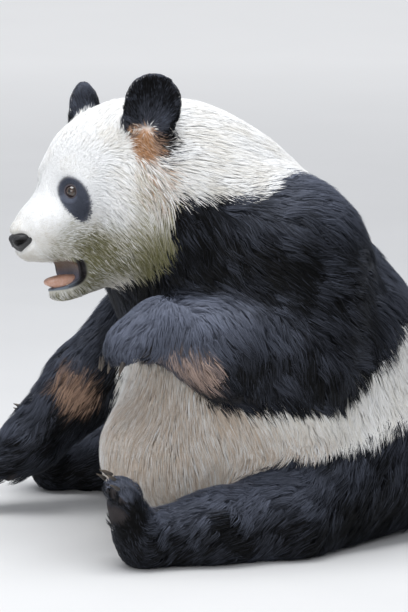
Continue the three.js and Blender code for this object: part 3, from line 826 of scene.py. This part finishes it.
eyeball, tree, shader = new_material(
    "eyeball", Roughness=0.06, Specular_IOR_Level=0.6, Coat_Weight=1.0, Coat_Roughness=0.03
)
PUPIL_BLACK = (0.004, 0.004, 0.005)
IRIS_BROWN = (0.085, 0.038, 0.016)
IRIS_RIM = (0.012, 0.007, 0.005)
BALL_BROWN = (0.10, 0.065, 0.055)
off = attribute(tree, "off_axis")
where = added(tree, "TexCoord", "Object")
rays = added(tree, "TexNoise", "Fac", Vector=where, Scale=900.0)
iris = mixed(tree, rays, IRIS_RIM, IRIS_BROWN)
for low, high, colour in ((0.80, 0.95, IRIS_RIM), (1.0, 1.1, BALL_BROWN)):
    edge = added(
        tree, "MapRange", "Result", interpolation_type="SMOOTHSTEP", Value=off, From_Min=low, From_Max=high
    )
    iris = mixed(tree, edge, iris, colour)
feed(tree, shader.inputs["Base Color"], mixed(tree, attribute(tree, "pupil"), iris, PUPIL_BLACK))

for side in SIDES:
    eye, sphere = new_ball("eyeball_" + side, 64, 48)
    tilt = np.arccos(np.clip(sphere[:, 2], -1, 1))
    bulge = BULGE_HIGH * np.clip(1 - (tilt / BULGE) ** 2, 0, 1) ** 2
    local = sphere * (EYE_RADIUS + bulge)[:, None]
    add_values(eye.data, "off_axis", np.hypot(local[:, 0], local[:, 1]) / IRIS + 3 * (sphere[:, 2] < 0))
    slit = np.hypot(local[:, 0] / PUPIL[0], local[:, 1] / PUPIL[1])
    add_values(eye.data, "pupil", ramp(slit, 1.15, 0.85) * (sphere[:, 2] > 0))
    move_points(eye.data, local @ ball_axes(side) + middle("eye_" + side))
    bpy.ops.object.shade_smooth()
    eye.data.materials.append(eyeball)
    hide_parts("eye_" + side)
    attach(eye, "root")


# ------------------------------------------------------------------ nose
# The leather of the nose: pebbled, moist and black, wide above and narrow below, with two
# comma-shaped nostrils that run out and up into slits, and a groove down the middle.
NOSE_TOP = 0.0175
NOSE_LOW = -0.0185

leather, sphere = new_ball("nose_leather", 128, 96)
x, y, z = (np.sign(sphere) * np.abs(sphere) ** 0.85).T
high = ramp(z, -1.0, 0.35)
places = np.stack(
    (
        x * (0.013 + 0.019 * high),
        y * (0.017 + 0.006 * high) + 0.0075 * high * x**2,
        np.where(z > 0, z * NOSE_TOP, -z * NOSE_LOW) - 0.002 * x**2,
    ),
    axis=1,
)
sided = folded(places)
mesh_normals = unit(sphere / NOSE_SIZE)
# Each step along a nostril: its place, its reach and its depth.
NOSTRIL = np.array((
    (0.0115, -0.0175, -0.0015, 0.0060, 0.0090),
    (0.0175, -0.0150, -0.0005, 0.0062, 0.0088),
    (0.0235, -0.0085, 0.0030, 0.0048, 0.0065),
    (0.0270, 0.0020, 0.0085, 0.0034, 0.0035),
))
sink = np.zeros(len(places))
for step in np.linspace(0, len(NOSTRIL) - 1, 22):
    *at, reach, deep = [np.interp(step, range(len(NOSTRIL)), column) for column in NOSTRIL.T]
    sink = np.maximum(sink, deep * ramp(size_of(sided - at), reach, 0.35 * reach))
groove = 0.0016 * ramp(np.abs(places[:, 0]), 0.0022, 0.0) * ramp(places[:, 2], 0.010, 0.0) * (y < 0)
wing = (size_of(sided - (0.0145, -0.0165, 0.0)) - 0.0085) / 0.0025
alar = 0.0012 * np.exp(-(wing**2))
places -= mesh_normals * (sink + groove - alar)[:, None]
# Painted shade: the nostrils are darker the deeper they sink.
add_values(leather.data, "inside", np.clip(sink / 0.004, 0, 1))
move_points(leather.data, from_head(places + nose_place))
finish_with(leather, "SMOOTH", factor=0.5, iterations=2)
bpy.ops.object.shade_smooth()

nose_skin, tree, shader = new_material("nose_skin", Roughness=0.36, Coat_Weight=0.25, Coat_Roughness=0.25)
LEATHER_BLACK = (0.014, 0.014, 0.016)
LEATHER_GREY = (0.045, 0.048, 0.055)
NOSTRIL_PAINTED_SHADE = (0.004, 0.003, 0.003)
pebbles = bumped(tree, shader, 780.0, 0.0012, strength=0.7, kind="TexVoronoi", output="Distance")
colour = mixed(tree, pebbles, LEATHER_GREY, LEATHER_BLACK)
# The nostrils' painted shade.
colour = mixed(tree, attribute(tree, "inside"), colour, NOSTRIL_PAINTED_SHADE)
feed(tree, shader.inputs["Base Color"], colour)
leather.data.materials.append(nose_skin)
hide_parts("nose")
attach(leather, "root")


# ------------------------------------------------------------------ tongue and teeth
# The tongue lies on the floor of the mouth, with a groove down its middle. Six small front teeth
# and a canine at each end stand in an arc in each jaw, and the lips cover most of them.
tongue, sphere = new_ball("tongue_wet", 48, 32)
TONGUE_SIZE = np.array((0.0215, 0.054, 0.0135))
TONGUE_FROM_PLAIN = (0, 0.003, -0.0045)  # it lies behind the plain one's middle and sags below it
x, y, z = (np.sign(sphere) * np.abs(sphere) ** 0.8).T
tip = ramp(y, -0.2, -1.0)
places = np.stack(
    (
        x * TONGUE_SIZE[0] * (1 - 0.18 * tip),
        y * TONGUE_SIZE[1],
        z * TONGUE_SIZE[2] * (1 - 0.2 * tip) + 0.0020 * tip - 0.004 * ramp(y, -0.5, 0.7)
        + (z > 0) * (0.0016 * np.abs(x) ** 1.5 - 0.0022 * np.exp(-((x / 0.16) ** 2))),
    ),
    axis=1,
)
move_points(tongue.data, from_head(places + in_head(middle("tongue")) + TONGUE_FROM_PLAIN))
bpy.ops.object.shade_smooth()
wet_flesh, tree, shader = new_material("wet_flesh", Roughness=0.32, Coat_Weight=0.55, Coat_Roughness=0.15)
TONGUE_PINK = (0.46, 0.19, 0.09)
TONGUE_PALE = (0.68, 0.46, 0.38)
grains = bumped(tree, shader, scale=210.0, distance=0.0012, strength=0.7)
feed(tree, shader.inputs["Base Color"], mixed(tree, grains, TONGUE_PINK, TONGUE_PALE))
tongue.data.materials.append(wet_flesh)
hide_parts("tongue")
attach(tongue, "root")

ivory, tree, shader = new_material("ivory", Roughness=0.28, Coat_Weight=0.4, Coat_Roughness=0.1)
IVORY_PALE = (0.70, 0.63, 0.50)
IVORY_STAINED = (0.42, 0.31, 0.18)
grains = bumped(tree, shader, scale=180.0, distance=0.0004)
feed(tree, shader.inputs["Base Color"], mixed(tree, grains, IVORY_STAINED, IVORY_PALE))
TOOTH_SPREAD = 1.1  # half of the arc of the front teeth, in radians
FRONT_TEETH = 8
INCISOR = (0.0030, 0.0022, 0.010)  # half its width, half its thickness, its height
CANINE = (0.0042, 0.0048, 0.016)


def tooth_at(at, turn, size, up, blunt):
    """One tooth of the head: a crown on a round root, flattened at the tip when blunt."""
    tooth, sphere = new_ball("tooth", 12, 8)
    x, y, z = sphere.T
    taper = 1 - (0.25 if blunt else 0.75) * ramp(z, -0.4, 1.0)
    back_bend = 0.0 if blunt else 0.35 * size[2] * ramp(z, -0.2, 1.2) ** 2
    x, y, z = x * taper * size[0], y * taper * size[1] + back_bend, (0.5 * z + 0.35) * size[2]
    c, s = math.cos(turn), math.sin(turn)
    move_points(tooth.data, from_head(np.stack((c * x - s * y, s * x + c * y, up * z), axis=1) + at))
    bpy.ops.object.shade_smooth()
    return tooth


for jaw, at, radius, up in (
    ("upper", (0, -0.146, -0.129), 0.028, -1),
    ("lower", (0, -0.136, -0.193), 0.021, 1),
):
    teeth = []
    for i in range(FRONT_TEETH):
        share = 2 * i / (FRONT_TEETH - 1) - 1
        turn = share * TOOTH_SPREAD
        is_canine = i in (0, FRONT_TEETH - 1)
        place = (at[0] + radius * math.sin(turn), at[1] - radius * math.cos(turn), at[2])
        teeth.append(tooth_at(place, turn, CANINE if is_canine else INCISOR, up, not is_canine))
    pick(*teeth)
    bpy.ops.object.join()
    row = bpy.context.object
    row.name = "teeth_" + jaw
    edit_all(bpy.ops.mesh.normals_make_consistent, inside=False)
    row.data.materials.append(ivory)
    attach(row, "root")


# ------------------------------------------------------------------ claws
# Five blunt curved claws of grey-brown horn on each paw, paler at the tips, with a fine grain along
# them.
horn, tree, shader = new_material("horn", Roughness=0.40, Specular_IOR_Level=0.45, Coat_Weight=0.15)
HORN_DARK = (0.030, 0.024, 0.020)
HORN_PALE = (0.17, 0.13, 0.09)
blend = mixed(tree, bumped(tree, shader, scale=340.0, distance=0.0006), HORN_DARK, HORN_PALE)
feed(tree, shader.inputs["Base Color"], mixed(tree, attribute(tree, "tip"), HORN_DARK, blend))

for paw in SOLES:
    names = claws_of(paw)
    wrist = middle(("forepaw_" if "arm" in paw else "hindpaw_") + paw.split("_")[1])
    claws = copies_of(names, "claws_" + paw)
    finish_with(claws, "SUBSURF", levels=2, render_levels=2)
    claw_points, _ = arrays(claws.data)
    reach = size_of(claw_points - wrist)
    add_values(claws.data, "tip", ramp(reach, np.percentile(reach, 30), reach.max()))
    cover(claws, horn)
    pick(claws)
    bpy.ops.object.shade_smooth()
    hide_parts(*names)
    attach(claws, "root")


# ------------------------------------------------------------------ coat
# The fur: tufts of hair, each a thin closed blade that rises from the hide, bends over and lies
# along the body, with its tip drawn to its neighbours' in a lock. Long and shaggy on the trunk and
# limbs, short on the face, ears and paws.
BODY_TUFTS_PER_M2 = 120e3
TUFTS_PER_M2 = {"lower_jaw": 200e3, "ear": 170e3, "forepaw": 120e3, "hindpaw": 105e3}
LENGTH = {
    "lower_jaw": 0.019, "ear": 0.013, "neck": 0.046, "chest": 0.048, "abdomen": 0.050,
    "upper_arm": 0.048, "forearm": 0.044, "forepaw": 0.030, "thigh": 0.044, "shin": 0.037,
    "hindpaw": 0.017, "tail": 0.060,
}
WIDTH = {"lower_jaw": 0.0011, "ear": 0.0012, "forepaw": 0.0014, "hindpaw": 0.0014}
BODY_WIDTH = 0.0015
# Which way the hair lies on each kind of node, before it is laid along the surface.
LIE = {
    "neck": (0, 0.90, -0.45), "chest": (0, 0.60, -0.80), "abdomen": (0, 0.25, -1.0),
    "upper_arm": (0, 0.85, -0.55), "forearm_left": (0.1, 0.22, -0.95),
    "forepaw_left": (0.1, -0.42, -0.90), "forearm_right": (0, -0.55, -0.85),
    "forepaw_right": (0, -0.90, -0.40), "thigh": (0, -0.55, -0.75), "shin": (0, -0.90, -0.45),
    "hindpaw": (0, -0.35, 0.90), "tail": (0, 0.75, -0.65),
}
rng = np.random.default_rng(7)

lie = np.stack([by_node(owner, {k: v[axis] for k, v in LIE.items()}, 0) for axis in range(3)], axis=1)
cheek = ramp(np.abs(q[:, :1]), 0.055, 0.105) * ramp(q[:, 1:2], -0.15, -0.08) * ramp(q[:, 2:], 0.06, 0.0)
lip_droop = ramp(q[:, 2:], -0.108, -0.132) * ramp(q[:, 2:], -0.165, -0.150) * ramp(q[:, 1:2], -0.225, -0.200)
chin = on(owner, "lower_jaw")[:, None]
rim = cheek * ramp(q[:, 1:2], -0.09, -0.03)
away = unit(q - nose_place) + (0, 0.3, 0) + cheek * (0, 0.1, -1.6) + lip_droop * (0, 0.5, -1.1)
away = away + rim * (0, -0.9, -1.0)
away = away + chin * (0, 0.3, -1.0)
lie = np.where(on(owner, "head", "lower_jaw")[:, None] > 0, away @ head_axes, lie)
EAR_ROOT = np.array((0.095, -0.009, 0.055))
ear_roots = from_head(np.sign(q[:, :1]) * EAR_ROOT * (1, 0, 0) + EAR_ROOT * (0, 1, 1))
lie = np.where(on(owner, "ear")[:, None] > 0, unit(points - ear_roots), lie)
lie = evened(unit(lie), pairs, 14)
soft_normals = unit(evened(normals, pairs, 2))
lie = unit(lie - soft_normals * np.sum(lie * soft_normals, axis=1, keepdims=True))

on_head = on(owner, "head") > 0
length = by_node(owner, LENGTH, 0)
face_length = 0.006 + 0.018 * ramp(q[:, 1], -0.20, -0.04) + 0.006 * cheek[:, 0]
face_length = np.maximum(face_length, 0.013 * lip_droop[:, 0])
face_length *= 1 - 0.35 * ramp(q[:, 2], -0.12, -0.19)
length = evened(np.where(on_head, face_length, length), pairs, 16)
width = by_node(owner, WIDTH, BODY_WIDTH)
face_width = 0.0008 + 0.0008 * ramp(q[:, 1], -0.19, -0.03)
width = evened(np.where(on_head, face_width, width), pairs, 16)
density = by_node(owner, TUFTS_PER_M2, BODY_TUFTS_PER_M2)
face_density = 300e3 - 170e3 * ramp(q[:, 1], -0.18, 0.0)
density = evened(np.where(on_head, face_density, density), pairs, 16)
bare = (to_eye < EYE_RADIUS + 0.0045) | (size_of((q - nose_place) / NOSE_SIZE) < 1.12)
bare |= (lips > 0.5) | (in_mouth > 0.003) | (pad > 0.4)
density = density * ~bare * ramp(points[:, 2], 0.001, 0.006)
length *= 0.25 + 0.75 * ramp(to_eye, 0.018, 0.075)
to_ear = size_of(folded(q) - EAR_ROOT)
length *= 1 - 0.5 * on_head * ramp(to_ear, 0.070, 0.040)

sides = points[corners[:, 1:]] - points[corners[:, :1]]
area = 0.5 * size_of(np.cross(sides[:, 0], sides[:, 1]))
share = 1.0
wanted = area * density[corners].mean(axis=1) * share
count = int(wanted.sum())
face = np.searchsorted(np.cumsum(wanted), (np.arange(count) + rng.random(count)) * wanted.sum() / count)
face = np.minimum(face, len(corners) - 1)
weights = rng.dirichlet((1, 1, 1), count)


def at_roots(values):
    return np.einsum("ij,ij...->i...", weights, values[corners[face]])


roots = at_roots(points)
root_normals = unit(at_roots(soft_normals))
root_lie = at_roots(lie)
root_length = at_roots(length) * rng.uniform(0.75, 1.15, count)
root_width = at_roots(width) * rng.uniform(0.75, 1.25, count)
root_depth = np.maximum(at_roots(depth), 0.0018 + 0.004 * at_roots(lip_droop[:, 0] + chin[:, 0]))
root_owner = owner[corners[face, 0]]
root_furry = at_roots(furry)

ragged = 0.1 + 0.9 * root_furry
root_mark = blackness(roots, root_owner) + ragged * 0.005 * wavy(roots, 0.016, 3.0)
root_black = root_mark + ragged * np.clip(rng.normal(0, 0.007, count), -0.013, 0.013) > 0
root_length *= 1 - 0.4 * (root_black & (on(root_owner, "head") > 0))
# Where black and white meet on the trunk the hair is shorter and the locks run loose.
to_black = ramp(-root_mark, 0.050, 0.010) * by_node(root_owner, {"neck": 1, "abdomen": 0.8, "chest": 1}, 0)
root_length *= 1 - 0.45 * to_black * ~root_black
at_edge = ramp(np.abs(root_mark), 0.050, 0.010) * (root_mark < 0.95 * BLACK_DEPTH)
root_length *= 1 - 0.25 * at_edge * root_black * root_furry
# The white hair of the trunk is finer and lies more evenly.
bushy = at_roots(evened(on(owner, "tail"), pairs, 6))
calm = 1 - root_furry * np.where(root_black, 0, 0.74) * (1 - bushy)


def kd_tree(places):
    tree = KDTree(len(places))
    for index, place in enumerate(places.tolist()):
        tree.insert(place, index)
    tree.balance()
    return tree


def nearest(tree, places):
    return np.fromiter((tree.find(p)[1] for p in places.tolist()), dtype=np.int64, count=len(places))


# Locks of two sizes: some tufts lead, and those round them follow their lean and their tips.
LOCK_SPREAD = (0.011, 0.026)
locks = []
for spread in LOCK_SPREAD:
    leads = rng.random(count) < 1 / np.maximum(at_roots(density) * share * spread**2, 1.5)
    leaders = np.nonzero(leads)[0]
    leader = leaders[nearest(kd_tree(roots[leaders]), roots)]
    near = ramp(size_of(roots - roots[leader]), 1.6 * spread, 0.3 * spread)
    locks.append((leader, near))

# The lie swings slowly over the body, and a little from lock to lock and from tuft to tuft.
swing = 0.28 * wavy(roots, 0.045, 1.0) + 0.14 * wavy(roots, 0.015, 5.0) + rng.normal(0, 0.08, count)
lean = rng.normal(0, 1, count)
swing += calm * root_furry * (0.16 * lean[locks[0][0]] + 0.26 * lean[locks[1][0]])
sideways = np.cross(root_normals, root_lie)
root_lie = unit(root_lie * np.cos(swing)[:, None] + sideways * np.sin(swing)[:, None])

hide_tree = kd_tree(points)


def walked(places, way, distance):
    """Where a walk along the hide ends, its normal there, and the way on."""
    ahead = places + way * distance[:, None]
    found = nearest(hide_tree, ahead)
    normal = soft_normals[found]
    off = np.sum((ahead - points[found]) * normal, axis=1, keepdims=True)
    landed = ahead - off * normal
    way = unit(way - normal * np.sum(way * normal, axis=1, keepdims=True))
    return landed, normal, unit(0.75 * way + 0.25 * lie[found])


middles, middle_normals, way = walked(roots, root_lie, 0.42 * root_length)
ends, end_normals, way = walked(middles, way, 0.58 * root_length)
rise = rng.uniform(-1, 1, count)
lift = 0.20 * rise + 0.10 * wavy(roots, 0.012, 9.0) + 0.12 * root_furry * rise[locks[1][0]]
lift = 0.89 + calm * lift
lift *= 1 - calm * root_furry * (0.16 * (1 - locks[0][1]) + 0.28 * (1 - locks[1][1]))
middles = middles + middle_normals * (0.66 * root_depth * lift + 0.4 * root_width)[:, None]
ends = ends + end_normals * (0.92 * root_depth * lift + 0.2 * root_width)[:, None]
starts = roots - 0.0012 * root_normals
# The longer hair of the cheeks curls, and the shaggy black hair a little.
curly = at_roots(cheek[:, 0] + lip_droop[:, 0]) + 0.6 * root_furry * root_black
curl = curly * (0.10 * wavy(roots, 0.010, 11.0) + 0.05 * lean[locks[0][0]])
middles = middles + (curl * root_length)[:, None] * np.cross(middle_normals, root_lie)

for (leader, near), strength in zip(locks, (0.45, 0.35)):
    drawn = (0.25 + (0.15 + 0.42 * root_black) * root_furry) * strength * rng.uniform(0.5, 1.0, count)
    drawn = (drawn * (0.4 + 0.6 * near) * (1 - 0.6 * at_edge))[:, None]
    ends = ends + drawn * (ends[leader] - ends)
    middles = middles + 0.45 * drawn * (middles[leader] - middles)
# The hair of the tail runs together to a point.
to_tip = (0.7 * bushy * ramp(ends[:, 2], 0.09, 0.01))[:, None]
ends[:, :2] += to_tip * (middle("tail")[:2] - ends[:, :2])
for places in (starts, middles, ends):
    places[:, 2] = np.maximum(places[:, 2], 0.0005)

across = unit(np.cross(unit(middles - starts), middle_normals))
half = 0.5 * root_width[:, None]
ridge = middles + 0.55 * half * middle_normals
blades = np.stack((starts, middles + half * across, ridge, middles - half * across, ends), axis=1)
blades[:, :, 2] = np.maximum(blades[:, :, 2], 0.0003)
BLADE = ((0, 1, 2), (0, 2, 3), (0, 3, 1), (4, 2, 1), (4, 3, 2), (4, 1, 3))
BLADE_ALONG = (0.0, 0.5, 0.5, 0.5, 1.0)
# The upper faces of a blade are shaded mostly as the coat's smooth surface, the lower ones as they are.
BLADE_UPPER = np.array((1, 1, 0, 1, 1, 0))[None, :, None, None]
as_coat = 0.45 + 0.15 * root_furry
# Where a blade's points lie on its patch of the unwrapped hide, as shares of the patch.
BLADE_UV = ((0.5, 0), (0, 0.5), (0.55, 0.6), (1, 0.5), (0.5, 1))
PATCH = 0.003

root_stains_and_shade = {}
for tint in TINTS:
    amount = stain_and_shade(roots, tint)
    root_stains_and_shade[tint] = np.clip(amount + 2.0 * amount * (1.1 - amount) * rng.normal(0, 1, count), 0, 1)
# Each tuft's tone: a random part, and painted light and shade from the way it faces, near the eyes and on
# the raised forearm.
tone_and_painted_light = (0.6 + 0.4 * ~root_black) * (0.12 * lean[locks[1][0]] + rng.normal(0, 0.16, count))
tone_and_painted_light += painted_light_and_tone(roots, root_normals, root_black) + at_roots(painted_light_near_eye)
tone_and_painted_light = np.clip(tone_and_painted_light, 0, 1)


def unwrapped(places, start, end):
    """The hide as a roll about a line from start to end: the angle round it and the way along it."""
    axis = unit(np.subtract(end, start))
    level = unit(np.cross(axis, (0.13, 0.21, 0.97) if abs(axis[2]) < 0.8 else (0.97, 0.1, 0.1)))
    v = places - start
    round_it = np.arctan2(v @ np.cross(axis, level), v @ level)
    flat = np.stack((round_it, v @ axis), axis=1)
    low, high = flat.min(axis=0), flat.max(axis=0)
    return 0.004 + (0.992 - PATCH) * (flat - low) / (high - low)


def make_coat(name, chosen, start, end, material):
    """One piece of the coat, from the chosen tufts."""
    chosen = np.nonzero(chosen)[0]
    n = len(chosen)
    size = len(BLADE_ALONG)
    mesh = bpy.data.meshes.new(name)
    corner_ids = (np.array(BLADE)[None] + size * np.arange(n)[:, None, None]).reshape(n, -1)
    mesh.vertices.add(size * n)
    mesh.vertices.foreach_set("co", blades[chosen].astype(np.float32).ravel())
    mesh.loops.add(corner_ids.size)
    mesh.loops.foreach_set("vertex_index", corner_ids.ravel().astype(np.int32))
    mesh.polygons.add(corner_ids.size // 3)
    mesh.polygons.foreach_set("loop_start", np.arange(0, corner_ids.size, 3, dtype=np.int32))
    mesh.polygons.foreach_set("use_smooth", np.ones(corner_ids.size // 3, dtype=bool))
    mesh.update(calc_edges=True)
    triangles = blades[chosen][:, np.array(BLADE)]
    flat = unit(np.cross(triangles[:, :, 1] - triangles[:, :, 0], triangles[:, :, 2] - triangles[:, :, 0]))
    flat = np.repeat(flat[:, :, None], 3, axis=2)
    along = np.array(BLADE_ALONG)[np.array(BLADE)][None, :, :, None]
    smooth = root_normals[chosen][:, None, None] * (1 - along) + end_normals[chosen][:, None, None] * along
    shaded_as = unit(flat + BLADE_UPPER * as_coat[chosen][:, None, None, None] * (smooth - flat))
    shaded_as = np.where(np.sum(shaded_as * flat, axis=3, keepdims=True) > 0.1, shaded_as, flat)
    mesh.normals_split_custom_set(shaded_as.reshape(-1, 3).tolist())
    uv = unwrapped(roots[chosen], start, end)
    corner_uv = uv[:, None] + PATCH * np.array(BLADE_UV)[corner_ids[0] % size][None]
    mesh.uv_layers.new(name="OFBake").data.foreach_set("uv", corner_uv.astype(np.float32).ravel())
    add_values(mesh, "mark", np.repeat(root_black[chosen].astype(float), size))
    add_values(mesh, "tone_and_painted_light", np.repeat(tone_and_painted_light[chosen], size))
    add_values(mesh, "along", np.tile(BLADE_ALONG, n))
    for tint in TINTS:
        add_values(mesh, tint, np.repeat(root_stains_and_shade[tint][chosen], size))
    mesh.materials.append(material)
    piece = linked(name, mesh)
    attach(piece, "root")


white_fur, tree, shader = new_material(
    "white_fur", Roughness=0.75, Specular_IOR_Level=0.25, Sheen_Weight=0.12
)
feed(tree, shader.inputs["Base Color"], coat_colour(tree))
black_fur, tree, shader = new_material(
    "black_fur", Roughness=0.42, Specular_IOR_Level=0.09, Sheen_Weight=0.05, Sheen_Tint=(0.62, 0.72, 0.95)
)
feed(tree, shader.inputs["Base Color"], coat_colour(tree))

# Each stretch of the coat: its kinds of node, and the line that its hide is unrolled about.
STRETCHES = {
    "head": ("head lower_jaw", (0.0, -0.60, 0.53), (0.0, -0.30, 0.66)),
    "ears": ("ear", (-0.12, -0.42, 0.72), (0.14, -0.38, 0.75)),
    "neck": ("neck", (0, -0.40, 0.56), (0, -0.02, 0.60)),
    "chest": ("chest", (0, -0.1, 0.33), (0, -0.2, 0.60)),
    "belly": ("abdomen tail", (0, -0.08, 0.0), (0, -0.08, 0.40)),
    "arm_left": ("upper_arm_left forearm_left forepaw_left", (0.20, -0.12, 0.5), (0.22, -0.45, 0.33)),
    "arm_right": ("upper_arm_right forearm_right forepaw_right", (-0.2, -0.18, 0.55), (-0.22, -0.5, 0.1)),
    "leg_left": ("thigh_left shin_left hindpaw_left", (0.2, 0.1, 0.1), (0.27, -0.46, 0.06)),
    "leg_right": ("thigh_right shin_right hindpaw_right", (-0.2, 0.1, 0.1), (-0.35, -0.42, 0.06)),
}
MOST_TUFTS = 33000
for stretch, (kinds, start, end) in STRETCHES.items():
    mine = on(root_owner, *kinds.split()) > 0
    for shade, chosen, material in (("white", ~root_black, white_fur), ("black", root_black, black_fur)):
        chosen = mine & chosen
        parts = math.ceil(chosen.sum() / MOST_TUFTS)
        for part in range(parts):
            turn = np.cumsum(chosen) % parts == part
            name = f"fur_{stretch}_{shade}_{part + 1}"
            make_coat(name, chosen & turn, start, end, material)
